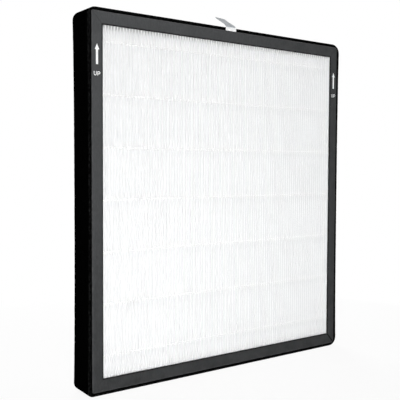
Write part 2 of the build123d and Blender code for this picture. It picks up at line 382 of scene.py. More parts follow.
def make_board():
    """Cloudy grey with paler fibres. Paler where two of the three distances to the frame's outer faces
    are small at once, which is so only along the folds: rubbing and a painted highlight. Painted shade
    makes it darker where the distance to the window is small. A mitre is where the shares of the way from
    window to outer edge are the same both ways; the lower right one gapes and gets dark painted shade, the
    others a faint line of it. Away from all outer faces the board is unprinted and pale."""
    material, tree, shader, place = start_finish("frame_board", BOARD_GLOSS)
    tone = cloudy(tree, place, BOARD_CLOUDS, *BOARD_TONES)
    fibres = speckled(tree, FINE_FIBRES, place, BOARD_FIBRES)
    flecked = tinted(tree, tone["Color"], fibres, BOARD_FIBRE_SHARE, BOARD_FIBRE)
    axes = from_middle(tree, place)
    reach = [calculate(tree, "ABSOLUTE", axis) for axis in axes]
    near = [fade(tree, r, half - RUB_AND_HIGHLIGHT_BAND[0], half - RUB_AND_HIGHLIGHT_BAND[1]) for r, half in zip(reach, frame_half)]
    folds = calculate(tree, "MULTIPLY", calculate(tree, "MAXIMUM", near[0], near[2]), near[1])
    patchy = between(tree, cloudy(tree, place, RUB_AND_HIGHLIGHT_CLOUDS)["Mask"], *RUB_AND_HIGHLIGHT_SHARES)
    # rubbing and painted highlight along the folds
    worn_and_highlit = mix_colour(tree, calculate(tree, "MULTIPLY", folds, patchy), flecked, BOARD_RUBBED_AND_HIGHLIT)
    beside = calculate(tree, "SUBTRACT", reach[0], window_half_x)
    above = calculate(tree, "SUBTRACT", reach[2], window_half_z)
    # painted shade along the window's edge
    window_shade = fade(tree, calculate(tree, "MAXIMUM", beside, above), *WINDOW_SHADE_BAND)
    across = calculate(tree, "DIVIDE", beside, frame_half.x - window_half_x)
    along = calculate(tree, "DIVIDE", above, frame_half.z - window_half_z)
    off_mitre = calculate(tree, "ABSOLUTE", calculate(tree, "SUBTRACT", across, along))
    mitre = fade(tree, off_mitre, *MITRE_BAND)
    right = calculate(tree, "GREATER_THAN", axes["X"], 0.0)
    lower_right = calculate(tree, "MULTIPLY", right, calculate(tree, "LESS_THAN", axes["Z"], 0.0))
    # painted shade in the mitres: dark at the open lower right, faint at the others
    mitre_shade = calculate(tree, "MULTIPLY", mitre, calculate(tree, "MAXIMUM", lower_right, MITRE_FAINT))
    dark_lines = calculate(tree, "MAXIMUM", calculate(tree, "MULTIPLY", window_shade, WINDOW_SHADE_SHARE), mitre_shade)
    # the board's colour with its lines of painted shade
    cut = mix_colour(tree, dark_lines, worn_and_highlit, BOARD_PAINTED_SHADE)
    within = [fade(tree, r, half - SKIN[0], half - SKIN[1]) for r, half in zip(reach, frame_half)]
    hidden = calculate(tree, "MULTIPLY", within[1], calculate(tree, "MULTIPLY", within[0], within[2]))
    inside = calculate(tree, "MULTIPLY", hidden, calculate(tree, "SUBTRACT", 1.0, mitre))
    colour = mix_colour(tree, inside, cut, BOARD_INSIDE)
    smooth = between(tree, tone["Mask"], *BOARD_ROUGH)
    roughness = calculate(tree, "MULTIPLY_ADD", dark_lines, ROUGHER_LINES, smooth)
    set_surface(tree, shader, colour, roughness, fibres, BOARD_RELIEF)
    return material


refinish(RAILS, make_board())

# %% [markdown]
# ## The pleated sheet
# The filter itself is one strip of white non-woven sheet, folded a hundred times. It could be an array
# of bent planes, but then every fold would be the same and the sheet would be in pieces. Here a single
# line runs through all the folds, seen from above: a half circle round a front fold, a straight wall, a
# half circle round a rear fold, and back. Carried upwards, that line is the sheet. Between the glue
# rows real folds wander a little, so every fold gets its own slow sideways drift, which dies out at the
# rows that hold it.

# %% Sheet finish
SHEET_FRONT = -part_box("pleat_pack")[0].y  # from the middle of the depth to the outermost folds
SHEET_TONES = (grey(0.82, -0.008), grey(0.86, -0.006))
SHEET_CLOUDS = 130.0
SHEET_FIBRE = grey(0.9)
SHEET_FIBRES = 2600.0
SHEET_FIBRE_SHARE = 0.5
# paler hollows between the folds: painted light against their shade
SHEET_HOLLOW_LIT = grey(0.95, -0.004)
# under the top flange: painted light on the folds and painted shade in the hollows
SHEET_FOLD_LIGHT_AT_FLANGE = grey(0.97)
SHEET_HOLLOW_SHADE_AT_FLANGE = grey(0.7)
SHEET_GLOSS = 0.2
SHEET_ROUGH = (0.85, 0.95)
SHEET_RELIEF = 0.03 * MM
HOLLOW_LIGHT_DEPTH = 1.2 * MM  # how far behind the folds the hollows' painted light is full
FLANGE_SHADE_REACH = 4.5 * MM  # below the top flange, where the painted light and shade have ended
ROWS = 7  # glue rows on each side
row_boxes = [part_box(f"front_bead_{i + 1}") for i in range(ROWS)]
row_heights = [(low.z + high.z) / 2 for low, high in row_boxes]
ROW_PITCH = row_heights[1] - row_heights[0]
# a paler band above each glue row: painted highlight on its ridge
ROW_HIGHLIGHT = grey(0.97)
ROW_HIGHLIGHT_SHARE = 0.25
ROW_HIGHLIGHT_REACH = 8 * MM  # above a row, where its painted highlight has faded out
ROW_HIGHLIGHT_SINK = 1.2 * MM  # how far below the middle of its row it begins
SHADED = grey(0.8)
SHADED_SHARE = 0.13
SHADED_REACH = 9 * MM  # below a row, where the shade of its ridge has faded out


def make_sheet_finish():
    """White with a faint cloudiness and fibres that are raised and a touch brighter than what lies
    between them. The folds, where the distance to the middle of the depth is largest, are a little
    greyer than the hollows between them, which are painted paler against their shade. Close under the top
    flange it is the other way round: painted light on the folds and painted shade in the hollows. The
    height within a bay, the remainder of the height by the pitch of the rows, gives a paler band of
    painted highlight above each row and a greyer band of painted shade below it."""
    material, tree, shader, place = start_finish("filter_sheet", SHEET_GLOSS)
    tone = cloudy(tree, place, SHEET_CLOUDS, *SHEET_TONES)
    fibres = speckled(tree, FINE_FIBRES, place, SHEET_FIBRES)
    lively = tinted(tree, tone["Color"], fibres, SHEET_FIBRE_SHARE, SHEET_FIBRE)
    axes = axes_of(tree, place)
    window_top = frame_middle.z + window_half_z
    # painted light on the folds and painted shade in the hollows close under the top flange
    under_flange = fade(tree, axes["Z"], window_top - FLANGE_SHADE_REACH, window_top)
    folds = mix_colour(tree, under_flange, lively, SHEET_FOLD_LIGHT_AT_FLANGE)
    hollows = mix_colour(tree, under_flange, SHEET_HOLLOW_LIT, SHEET_HOLLOW_SHADE_AT_FLANGE)
    depth = calculate(tree, "ABSOLUTE", axes["Y"])
    # 1 in the hollows, where their painted light goes
    behind = fade(tree, depth, SHEET_FRONT, SHEET_FRONT - HOLLOW_LIGHT_DEPTH)
    from_row = calculate(tree, "SUBTRACT", axes["Z"], row_heights[0] - ROW_HIGHLIGHT_SINK)
    above = calculate(tree, "FLOORED_MODULO", from_row, ROW_PITCH)
    # painted highlight above each row
    row_highlight = fade(tree, above, ROW_HIGHLIGHT_REACH, 0.0)
    shaded = fade(tree, above, ROW_PITCH - SHADED_REACH, ROW_PITCH)
    paler = tinted(tree, mix_colour(tree, behind, folds, hollows), row_highlight, ROW_HIGHLIGHT_SHARE, ROW_HIGHLIGHT)
    colour = tinted(tree, paler, shaded, SHADED_SHARE, SHADED)
    roughness = between(tree, tone["Mask"], *SHEET_ROUGH)
    set_surface(tree, shader, colour, roughness, fibres, SHEET_RELIEF)
    return material


sheet_finish = make_sheet_finish()
print("finish:", sheet_finish.name)

# %% Line through the folds
FOLDS = 100  # front folds
SHEET_THICKNESS = 0.4 * MM
BEND_RADIUS = 0.4 * MM  # of a fold, to the middle of the sheet
ARC_STEPS = 5
FRONT_SLACK = 0.12 * MM  # how far the front folds have sprung out towards the flanges
LEG_STEP = 0.6  # where the straight leg at each side is divided, as a share of the depth
pack_low, pack_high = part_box("pleat_pack")
fold_reach = BEND_RADIUS + SHEET_THICKNESS / 2
fold_first = pack_low.x + fold_reach
fold_pitch = (pack_high.x - pack_low.x - 2 * fold_reach) / (FOLDS - 1)
front_centre = pack_low.y + fold_reach - FRONT_SLACK
rear_centre = pack_high.y - fold_reach


def fold_line():
    """Points of the sheet's middle line and the direction of its front side, for one pleat and then for
    all. A wall touches a front and a rear bend crosswise, so it leans by the slope between their
    centres less the angle whose sine is the sum of the radii over their distance. Every point also gets
    the number of its fold, and 0 if that is a front fold or 1 if it is a rear one."""
    half, depth = fold_pitch / 2, rear_centre - front_centre
    lean = math.atan2(half, depth) - math.asin(2 * BEND_RADIUS / math.hypot(half, depth))
    turn = np.linspace(lean - np.pi, -lean, ARC_STEPS)
    out = np.column_stack((np.cos(turn), np.sin(turn)))
    front = BEND_RADIUS * out + (0, front_centre)
    rear = BEND_RADIUS * out * (1, -1) + (half, rear_centre)
    line = np.concatenate((front, rear))
    side = np.concatenate((out, out * (-1, 1)))
    at_rear = np.repeat((0, 1), ARC_STEPS)
    pleat = np.arange(FOLDS - 1)
    start = np.column_stack((fold_first + pleat * fold_pitch, 0 * pleat))
    fold_last = fold_first + (FOLDS - 1) * fold_pitch
    leg = np.array(((-BEND_RADIUS, rear_centre), (-BEND_RADIUS, rear_centre - LEG_STEP * depth)))
    line = (line[None] + start[:, None]).reshape(-1, 2)
    last_leg = leg[::-1] * (-1, 1) + (fold_last, 0)
    line = np.concatenate((leg + (fold_first, 0), line, front + (fold_last, 0), last_leg))
    side = np.concatenate(([[-1, 0]] * 2, np.tile(side, (FOLDS - 1, 1)), out, [[1, 0]] * 2))
    at_rear = np.concatenate(((0, 0), np.tile(at_rear, FOLDS - 1), np.zeros(ARC_STEPS + 2, int)))
    fold = np.concatenate(((0, 0), np.repeat(pleat, 2 * ARC_STEPS), np.full(ARC_STEPS + 2, FOLDS - 1)))
    return line, side, fold, at_rear


line, side, fold, at_rear = fold_line()

# %% The sheet
DRIFT = 0.09 * MM  # sideways, between glue rows
SWELL = 0.05 * MM  # in and out, between glue rows
WAVELENGTHS = np.array([[0.41], [0.17], [0.083]])  # metres up a fold
RIDGE = 0.35 * MM  # how far a fold is pushed out at a row or a flange
RIDGE_REACH = 4.0 * MM  # up and down from the row, where that has fallen to a third
PRESSED_REACH = 12.0 * MM  # the same from the flanges, which the folds press against
RIDGE_SINK = 1.8 * MM  # how far below the middle of its row the glue has run
LEVELS_IN_BAY = np.array((0.0, 0.06, 0.17, 0.5, 0.83, 0.94))  # shares of the way from row to row
SHEET_SEED = 5
ridge_heights = np.array(row_heights) - RIDGE_SINK
held_heights = np.array((pack_low.z, *ridge_heights, pack_high.z))


def drift_of_folds(rng, heights, outward):
    """For each fold two numbers at each height, sideways and in or out. They are the mean of three slow
    waves with the fold's own phases, times a factor that is 0 at every glue row and at the pleat ends
    and 1 halfway between them. Near a row and towards the flanges above and below the window the fold
    also stands outward, and that falls off with the distance to the row or the flange."""
    bay = np.interp(heights, held_heights, np.arange(len(held_heights)))
    free = np.abs(np.sin(np.pi * bay))
    phase = rng.uniform(0, 2 * np.pi, (FOLDS, 2, len(WAVELENGTHS), 1))
    waves = np.sin(phase + 2 * np.pi * heights / WAVELENGTHS).mean(axis=2) * free
    from_row = np.abs(heights - ridge_heights[:, None]).min(axis=0)
    from_flange = np.maximum(window_half_z - np.abs(heights - frame_middle.z), 0)
    nearness = np.maximum(np.exp(-from_row / RIDGE_REACH), np.exp(-from_flange / PRESSED_REACH))
    ridge = outward * RIDGE * nearness
    return np.stack((DRIFT * waves[:, 0], SWELL * waves[:, 1] + ridge), axis=-1)


def pleated_sheet(name):
    """Height and distance along the fold line are the two parameters. Each point of the line is moved
    by the drift of its fold, then by half the thickness to the front side and to the rear side."""
    bay = np.arange(len(held_heights) - 1)[:, None]
    bays = np.append(bay + LEVELS_IN_BAY, len(bay))
    heights = np.interp(bays, np.arange(len(held_heights)), held_heights)
    rng = np.random.default_rng(SHEET_SEED)
    drift = np.stack([drift_of_folds(rng, heights, outward) for outward in (-1, 1)])
    moved = line[:, None] + drift[at_rear, fold]
    offset = side[:, None] * SHEET_THICKNESS / 2
    loop = np.concatenate((moved + offset, (moved - offset)[::-1])).transpose(1, 0, 2)
    levels, around = loop.shape[:2]
    points = np.dstack((loop, np.repeat(heights[:, None], around, axis=1)))
    i = np.arange(around // 2 - 1)
    lower = np.stack((i, around - 1 - i, around - 2 - i, i + 1), axis=-1)
    upper = lower[:, ::-1] + (levels - 1) * around
    faces = np.concatenate((grid_quads(levels, around, closed=True), lower, upper))
    return add_piece(name, points, faces.tolist(), crease=60.0)


sheet = pleated_sheet("pleated_sheet")
dress(sheet, sheet_finish, ["pleat_pack"])

# %% [markdown]
# ## The glue
# Hot glue is laid across the flat sheet in lines before it is folded. In the folded pack each line
# becomes a row of small webs between the pleats, joined by a thin smear over every fold. A row of cubes
# would do from far away. One tube, whose depth swings between smear and web as it runs along, gives the
# soft scalloped look of real glue.

# %% Glue finish
SEALS = ("end_seal_bottom", "end_seal_top", "side_seal_left", "side_seal_right")
GLUE_TONES = (grey(0.87), grey(0.9))
GLUE_CLOUDS = 400.0
GLUE_BUBBLE = grey(0.84)
GLUE_BUBBLES = 2400.0
GLUE_BUBBLE_SHARE = 0.25
GLUE_GLOSS = 0.15
GLUE_ROUGH = (0.45, 0.65)
GLUE_RELIEF = 0.03 * MM


def make_glue():
    """Milky white, smooth but uneven, with tiny bubbles."""
    material, tree, shader, place = start_finish("hot_melt_glue", GLUE_GLOSS)
    tone = cloudy(tree, place, GLUE_CLOUDS, *GLUE_TONES)
    bubbles = speckled(tree, OPEN_CELLS, place, GLUE_BUBBLES)
    colour = tinted(tree, tone["Color"], bubbles, GLUE_BUBBLE_SHARE, GLUE_BUBBLE)
    set_surface(tree, shader, colour, between(tree, tone["Mask"], *GLUE_ROUGH), tone["Mask"], GLUE_RELIEF)
    return material


glue = make_glue()
refinish(SEALS, glue)

# %% Glue rows
SMEAR_FRONT = 0.03 * MM  # how far the glue stands out over a fold
SMEAR_SINK = 0.06 * MM  # how far it soaks into the fold
WEB_DIP = 1.7 * MM  # how far it sags back between two folds
WEB_GAP = 0.15 * MM  # from the glue to the walls beside it
SMEAR_HALF_HEIGHT = 0.6 * MM
WEB_HALF_HEIGHT = 1.2 * MM
CROWN_SPOTS = fold_reach * np.array((-0.85, 0.0, 0.85))
WEB_SPOTS = np.linspace(fold_reach + WEB_GAP, fold_pitch - fold_reach - WEB_GAP, 4)
SAG = np.array((0.15, 0.0, 0.15, 0.6, 1.0, 1.0, 0.6))  # at those spots, as a share of the dip
GLUE_LUMPS = 0.012 * MM
GLUE_UNEVEN = 0.06  # share by which the height of the glue varies
ROW_WANDER = 0.12 * MM  # up and down along a row
ROW_WAVE = 0.3  # metres
RING_POINTS = 10
RING_SQUARENESS = 0.85  # 1 is an oval, less is squarer
FRONT_SEED = 19
REAR_SEED = 39


def glue_row(name, node, to_front, first, count, seed):
    """Distance along the row and angle round it are the two parameters. The ring is a squared-off oval
    whose front and rear are set by where it stands: over a fold it lies thinly on the crown, between
    folds it dips and reaches deep. The height wanders slowly along the row."""
    rng = np.random.default_rng(seed)
    low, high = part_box(node)
    crown, deep, inward = (pack_low.y, high.y, 1) if to_front else (pack_high.y, low.y, -1)
    used = count * len(SAG) - len(WEB_SPOTS)
    spots = np.append(CROWN_SPOTS, WEB_SPOTS)
    along = (first + np.arange(count)[:, None] * fold_pitch + spots).ravel()[:used]
    on_web = np.tile(np.repeat((False, True), (len(CROWN_SPOTS), len(WEB_SPOTS))), count)[:used]
    sag = np.tile(SAG, count)[:used]
    lumps = rng.normal(0, 1, (3, used))
    near = crown - inward * (SMEAR_FRONT - sag * (SMEAR_FRONT + WEB_DIP) + lumps[0] * GLUE_LUMPS)
    far = np.where(on_web, deep, crown + inward * SMEAR_SINK)
    tall = np.where(on_web, WEB_HALF_HEIGHT, SMEAR_HALF_HEIGHT) * (1 + GLUE_UNEVEN * lumps[1])
    wander = ROW_WANDER * np.sin(2 * np.pi * along / ROW_WAVE + seed)
    level = (low.z + high.z) / 2 + wander + lumps[2] * GLUE_LUMPS
    angle = (np.arange(RING_POINTS) + 0.5) * 2 * np.pi / RING_POINTS
    reach, lift = (np.sign(f) * np.abs(f) ** RING_SQUARENESS for f in (np.cos(angle), np.sin(angle)))
    y = ((near + far) / 2)[:, None] + ((near - far) / 2)[:, None] * reach
    z = level[:, None] + tall[:, None] * lift
    x = np.repeat(along[:, None], RING_POINTS, axis=1)
    row = add_piece(name, np.dstack((x, y, z)), tube_faces(used, RING_POINTS), crease=70.0)
    dress(row, glue, [node])


rear_first = fold_first + fold_pitch / 2
for i in range(1, ROWS + 1):
    glue_row(f"front_glue_{i}", f"front_bead_{i}", True, fold_first, FOLDS, FRONT_SEED + i)
    glue_row(f"rear_glue_{i}", f"rear_bead_{i}", False, rear_first, FOLDS - 1, REAR_SEED + i)

# %% [markdown]
# ## The foam strips
# Two strips of black sponge are glued round the frame, so that no air slips past the filter in its bay.
# They are pulled thinner at the corners, meet in butt joints at the top and the bottom, and have rough
# cut edges. A bevelled ring would look like rubber moulding. Here a rounded section is carried round
# half the frame between an inner and an outer outline, and small seeded bumps make it sponge.

# %% Foam finish
FOAM_SKIN = grey(0.0012)
FOAM_CLOUDS = 300.0
FOAM_CELL = grey(0.0005)
FOAM_CELLS = 1500.0
FOAM_CELL_SHARE = 0.8
FOAM_CUT = grey(0.012, -0.02)
FOAM_MOTTLE = 500.0
FOAM_ROUGH = (0.85, 0.95)
FOAM_RELIEF = 0.15 * MM
CUT_BAND = (0.5 * MM, 0.25 * MM)  # from the cut faces, where their dust starts and where it is full
FRAME_GAP_SHADE_WIDTH = (0.9 * MM, 1.6 * MM)  # from the frame, where the painted shade on a cut face fades out


def make_foam():
    """Near black and matt, with open cells that are darker still. The two cut faces, where the distance
    to the middle of the depth is nearly the half depth, are dusty grey between the cells, except next to
    the frame, where painted shade keeps them black."""
    material, tree, shader, place = start_finish("foam")
    cells = speckled(tree, OPEN_CELLS, place, FOAM_CELLS)
    tone = cloudy(tree, place, FOAM_CLOUDS, FOAM_CELL, FOAM_SKIN)
    mottle = cloudy(tree, place, FOAM_MOTTLE)["Mask"]
    dust = tinted(tree, FOAM_CELL, mottle, mottle, FOAM_CUT)
    reach = [calculate(tree, "ABSOLUTE", axis) for axis in from_middle(tree, place)]
    half_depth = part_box("foam_strip_left")[1].y
    cut_face = fade(tree, reach[1], half_depth - CUT_BAND[0], half_depth - CUT_BAND[1])
    beside = calculate(tree, "SUBTRACT", reach[0], frame_half.x)
    above = calculate(tree, "SUBTRACT", reach[2], frame_half.z)
    # painted shade on the cut faces next to the frame
    out_of_gap_shade = fade(tree, calculate(tree, "MAXIMUM", beside, above), *FRAME_GAP_SHADE_WIDTH)
    skin = tinted(tree, tone["Color"], cut_face, out_of_gap_shade, dust)
    colour = tinted(tree, skin, cells, FOAM_CELL_SHARE, FOAM_CELL)
    solid = calculate(tree, "SUBTRACT", 1.0, cells)
    set_surface(tree, shader, colour, between(tree, cells, *FOAM_ROUGH), solid, FOAM_RELIEF)
    return material


foam = make_foam()
print("finish:", foam.name)


# %% Outlines
def runs_between(stops, steps):
    """The stops, which are short lines, with straight runs of even steps from the end of one to the
    start of the next."""
    runs = [stops[0]]
    for before, after, count in zip(stops, stops[1:], steps):
        step = np.arange(1, count)[:, None] / count
        runs += [before[-1] + step * (after[0] - before[-1]), after]
    return np.concatenate(runs)


def half_outline(side, half_x, half_z, radii, joint, straight_steps, corner_steps):
    """A line from the joint in the bottom round one side, 1 for right and -1 for left, to the joint in
    the top: three straight runs in even steps and two quarter circles with the lower and the upper
    radius."""
    quarter = np.linspace(0, np.pi / 2, corner_steps + 1)
    arc = np.column_stack((np.sin(quarter), -np.cos(quarter)))
    lower = (half_x - radii[0], radii[0] - half_z) + radii[0] * arc
    upper = (half_x - radii[1], half_z - radii[1]) + radii[1] * arc[::-1] * (1, -1)
    stops = (np.array([[side * joint, -half_z]]), lower, upper, np.array([[side * joint, half_z]]))
    return runs_between(stops, [straight_steps] * 3) * (side, 1)


def rounded_section(half_x, half_y, radius, corner_steps, side_steps):
    """A closed line round a small rectangle with round corners, anticlockwise. There are two numbers of
    side steps, across and along."""
    quarter = np.linspace(0, np.pi / 2, corner_steps + 1)
    arcs = []
    for k, (right, far) in enumerate(((1, 1), (-1, 1), (-1, -1), (1, -1))):
        centre = (right * (half_x - radius), far * (half_y - radius))
        turn = quarter + k * np.pi / 2
        arcs.append(centre + radius * np.column_stack((np.cos(turn), np.sin(turn))))
    return runs_between(arcs + arcs[:1], side_steps * 2)[: -len(quarter)]


# %% The foam strips
BOARD_CORNER = 2.0 * MM  # outer corner radius of the frame
GLUE_LINE = 0.1 * MM
FOAM_ROUND = 0.35 * MM  # softened edges
SPONGE_ROUGH = 0.05 * MM
SPONGE_WAVES = 0.04 * MM
OUTER_SHARE = 0.6  # of the way across the strip, where its outer side begins
BULGE = 1.6 * MM  # how far a side swells out next to the corners
BULGE_REACH = 60 * MM  # from the corner, where that has fallen to a third
BULGE_FADE = 10 * MM  # along the top and the bottom, where it has ended
WAVE_LENGTHS = (0.019, 0.0073, 0.031)  # metres round the frame for one radian of each slow wave
WAVE_SKEW = 60.0  # radians that the waves shift by in a metre of depth
OUTLINE_STEPS = {"straight_steps": 160, "corner_steps": 12}
SECTION_STEPS = {"corner_steps": 3, "side_steps": (3, 18)}
foam_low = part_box("foam_strip_left")[0]
foam_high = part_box("foam_strip_right")[1]
foam_half = (foam_high - foam_low) / 2


def foam_strip(name, node, side, joint, front_radii, rear_radii, seed):
    """Distance round the frame and distance round the section are the two parameters. A point stands
    between the inner and the outer outline by its place across the strip, and between front and rear by
    its place along it; the outer outline itself changes from its front to its rear corner radii. Slow
    waves and small seeded bumps move the outer side, and the long sides swell towards the corners."""
    rng = np.random.default_rng(seed)
    thickness = foam_half.x - frame_half.x - GLUE_LINE
    inner_radii = (BOARD_CORNER + GLUE_LINE,) * 2
    inner_half = (frame_half.x + GLUE_LINE, frame_half.z + GLUE_LINE)
    inner = half_outline(side, *inner_half, inner_radii, joint, **OUTLINE_STEPS)
    front = half_outline(side, foam_half.x, foam_half.z, front_radii, joint, **OUTLINE_STEPS)
    rear = half_outline(side, foam_half.x, foam_half.z, rear_radii, joint, **OUTLINE_STEPS)
    section = rounded_section(thickness / 2, foam_half.y, FOAM_ROUND, **SECTION_STEPS)
    across = section[:, 0] / thickness + 0.5
    backward = section[:, 1] / (2 * foam_half.y) + 0.5
    outer = front[:, None] + backward[:, None] * (rear - front)[:, None]
    reach = outer - inner[:, None]
    rounds, around = len(front), len(section)
    travel = np.append(0, np.cumsum(np.hypot(*np.diff(front, axis=0).T)))[:, None]
    skew = seed + WAVE_SKEW * section[:, 1]
    waves = sum(np.sin(travel / length + skew) for length in WAVE_LENGTHS) / len(WAVE_LENGTHS)
    lift = (rng.normal(0, SPONGE_ROUGH, (rounds, around)) + waves * SPONGE_WAVES) * (across > OUTER_SHARE)
    outward = reach / np.linalg.norm(reach, axis=2, keepdims=True)
    place = inner[:, None] + across[:, None] * reach + lift[..., None] * outward
    on_side = np.clip(1 - (foam_half.x - np.abs(outer[..., 0])) / BULGE_FADE, 0, 1)
    bulge = BULGE * on_side * np.exp((np.abs(outer[..., 1]) - foam_half.z) / BULGE_REACH)
    place[..., 0] += side * bulge * np.clip(across, 0, 1)
    depth = section[:, 1] + rng.normal(0, SPONGE_ROUGH, (rounds, around))
    points = np.dstack((place[..., 0], depth, place[..., 1] + frame_middle.z))
    strip = add_piece(name, points, tube_faces(rounds, around), crease=75.0)
    dress(strip, foam, [node])


LEFT_CORNERS = ((5.2 * MM, 8.6 * MM), (8.6 * MM, 10.2 * MM))  # lower and upper outer radius, front then rear
RIGHT_CORNERS = ((10.0 * MM, 10.8 * MM), (10.0 * MM, 10.8 * MM))
left_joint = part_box("foam_strip_left")[1].x
right_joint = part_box("foam_strip_right")[0].x
foam_strip("foam_left", "foam_strip_left", -1, left_joint, *LEFT_CORNERS, seed=8)
foam_strip("foam_right", "foam_strip_right", 1, right_joint, *RIGHT_CORNERS, seed=9)

# %% [markdown]
# ## The pull tab
# A ribbon of white film is glued under the foam, comes up over its front edge and stands off as a flap.
# Two boxes and a hinge would break at the bend. One ribbon, bent along its whole line, curves as film
# does. Its line is walked like a path: so far straight on, so far turning.

# %% Film finish
FILM_WHITE = grey(0.84)
# bluish grey: painted shade on the free flap
FILM_SHADED_TONES = (grey(0.42, -0.075), grey(0.47, -0.07))
FILM_CLOUDS = 350.0
FILM_LINES = 1800.0
FILM_LINE_SHARE = 0.3
FILM_GLOSS = 0.4
FILM_ROUGH = (0.4, 0.55)
FILM_RELIEF = 0.015 * MM
ROOT_FADE = 0.4 * MM  # above and below the bending line, where the white root turns into the flap's painted shade
hinge = np.array(frame["joints"][0]["pos_m"])


def make_film():
    """Frosted film with faint drawing lines and a satin gloss. Where it stands free it is painted bluish
    grey for the shade the flap is in; below the bend it is white."""
    material, tree, shader, place = start_finish("tab_film", FILM_GLOSS)
    tone = cloudy(tree, place, FILM_CLOUDS, *FILM_SHADED_TONES)
    drawing = speckled(tree, FINE_FIBRES, place, FILM_LINES)
    drawn = tinted(tree, tone["Color"], drawing, FILM_LINE_SHARE, FILM_WHITE)
    # white below the bend, painted shade above it
    white_root = fade(tree, axes_of(tree, place)["Z"], hinge[2] + ROOT_FADE, hinge[2] - ROOT_FADE)
    colour = mix_colour(tree, white_root, drawn, FILM_WHITE)
    set_surface(tree, shader, colour, between(tree, tone["Mask"], *FILM_ROUGH), drawing, FILM_RELIEF)
    return material


film = make_film()
print("finish:", film.name)


# %% A walked path
def path_knots(heading, legs):
    """Distances and headings, in degrees, at the ends of a path's legs. A leg is a length and the turn
    made evenly along it."""
    lengths, turns = np.transpose(legs)
    return np.append(0, np.cumsum(lengths)), heading + np.append(0, np.cumsum(turns))


def walk(start, knots, travel, early=0.0):
    """Places on a path after those distances, one path for each column of travel. The heading runs
    evenly from knot to knot and may come early by some distance. A step goes in the heading halfway
    along it, and a place is the running sum of the steps before it."""
    halfway = (travel[1:] + travel[:-1]) / 2
    angle = np.radians(np.interp(halfway + early, *knots))
    steps = np.diff(travel, axis=0)[..., None] * np.stack((np.cos(angle), np.sin(angle)), axis=-1)
    places = np.cumsum(steps, axis=0)
    return start + np.concatenate((0 * places[:1], places))


# %% The tab
TAB_THICKNESS = 0.3 * MM
TAB_FOLD = 0.6 * MM  # radius where the root turns up, to the middle of the film
TAB_CREASE = 0.6 * MM  # length of film in the crease at the bending line
TAB_BEND = 14.0 * MM
TAB_SLOPES = (52.0, 30.0)  # degrees above level, where the flap starts and where it ends
TAB_FREE = 18.0 * MM
TAB_FLICK = 5.0  # degrees that its last part turns up again
TAB_FLICK_FROM = 0.6  # share of the free length, where that part begins
TAB_SKEW = 0.45 * MM  # how much lower the crease runs at the right edge than in the middle
TAB_CORNER = 1.6 * MM
TAB_STEP = 0.15 * MM
TAB_COLUMNS = 13


def tab_ribbon(name):
    """Distance along the film and place across it are the two parameters. The path is the same for all
    places but turns a little earlier towards the right, so the crease runs slightly downhill. The front
    and rear sides are the path moved by half the thickness, and the width closes along quarter circles
    at the free corners."""
    root_low, root_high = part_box("pull_tab_root")
    start = np.array((root_high.y, root_low.z + TAB_THICKNESS / 2))
    legs = [
        (root_high.y - hinge[1] - TAB_FOLD, 0.0),
        (TAB_FOLD * np.pi / 2, -90.0),
        (hinge[2] - start[1] - TAB_FOLD, 0.0),
        (TAB_CREASE, TAB_SLOPES[0] - 90.0),
        (TAB_BEND * np.radians(TAB_SLOPES[0] - TAB_SLOPES[1]), TAB_SLOPES[1] - TAB_SLOPES[0]),
        (TAB_FREE * TAB_FLICK_FROM, 0.0),
        (TAB_FREE * (1 - TAB_FLICK_FROM), TAB_FLICK),
    ]
    knots = path_knots(180.0, legs)
    length = knots[0][-1]
    travel = np.linspace(0, length, math.ceil(length / TAB_STEP))[:, None]
    across = np.linspace(-1, 1, TAB_COLUMNS)
    risen = np.clip((travel[1:] - knots[0][2]) / (knots[0][3] - knots[0][2]), 0, 1)
    path = walk(start, knots, travel, early=TAB_SKEW * risen * across)
    tangent = np.gradient(path, axis=0)
    normal = tangent[..., ::-1] * (-1, 1) / np.linalg.norm(tangent, axis=-1, keepdims=True)
    front, rear = (path + sign * normal * TAB_THICKNESS / 2 for sign in (1, -1))
    yz = np.concatenate((front, rear[:, ::-1]), axis=1)
    closing = np.clip(travel - length + TAB_CORNER, 0, TAB_CORNER)
    half = (root_high.x - root_low.x) / 2 - TAB_CORNER + np.sqrt(TAB_CORNER**2 - closing**2)
    x = (root_low.x + root_high.x) / 2 + half * np.append(across, across[::-1])
    points = np.dstack((x, yz))
    ribbon = add_piece(name, points, tube_faces(*points.shape[:2]), crease=60.0)
    dress(ribbon, film, ["pull_tab_root", "pull_tab"], body=None)
    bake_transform(ribbon)


tab_ribbon("pull_tab_film")

# %% [markdown]
# ## The printed marks
# A white arrow and the word UP are printed on the left and right rails, so that the filter goes in the
# right way up. They could be drawn in the board's material. As thin pieces of their own they stay sharp
# and can be left out.

# %% Ink finish
INK_TONES = (grey(0.84), grey(0.92))
INK_CLOUDS = 900.0
INK_PINHOLE = grey(0.5)
INK_PINHOLES = 3200.0
INK_PINHOLE_SHARE = 0.2
INK_GLOSS = 0.3
INK_ROUGH = (0.5, 0.65)
INK_RELIEF = 0.01 * MM


def make_ink():
    """White ink, matt, a little thin in places, with pinholes where the board shows through."""
    material, tree, shader, place = start_finish("white_ink", INK_GLOSS)
    tone = cloudy(tree, place, INK_CLOUDS, *INK_TONES)
    holes = speckled(tree, OPEN_CELLS, place, INK_PINHOLES)
    colour = tinted(tree, tone["Color"], holes, INK_PINHOLE_SHARE, INK_PINHOLE)
    set_surface(tree, shader, colour, between(tree, tone["Mask"], *INK_ROUGH), tone["Mask"], INK_RELIEF)
    return material


ink = make_ink()
print("finish:", ink.name)

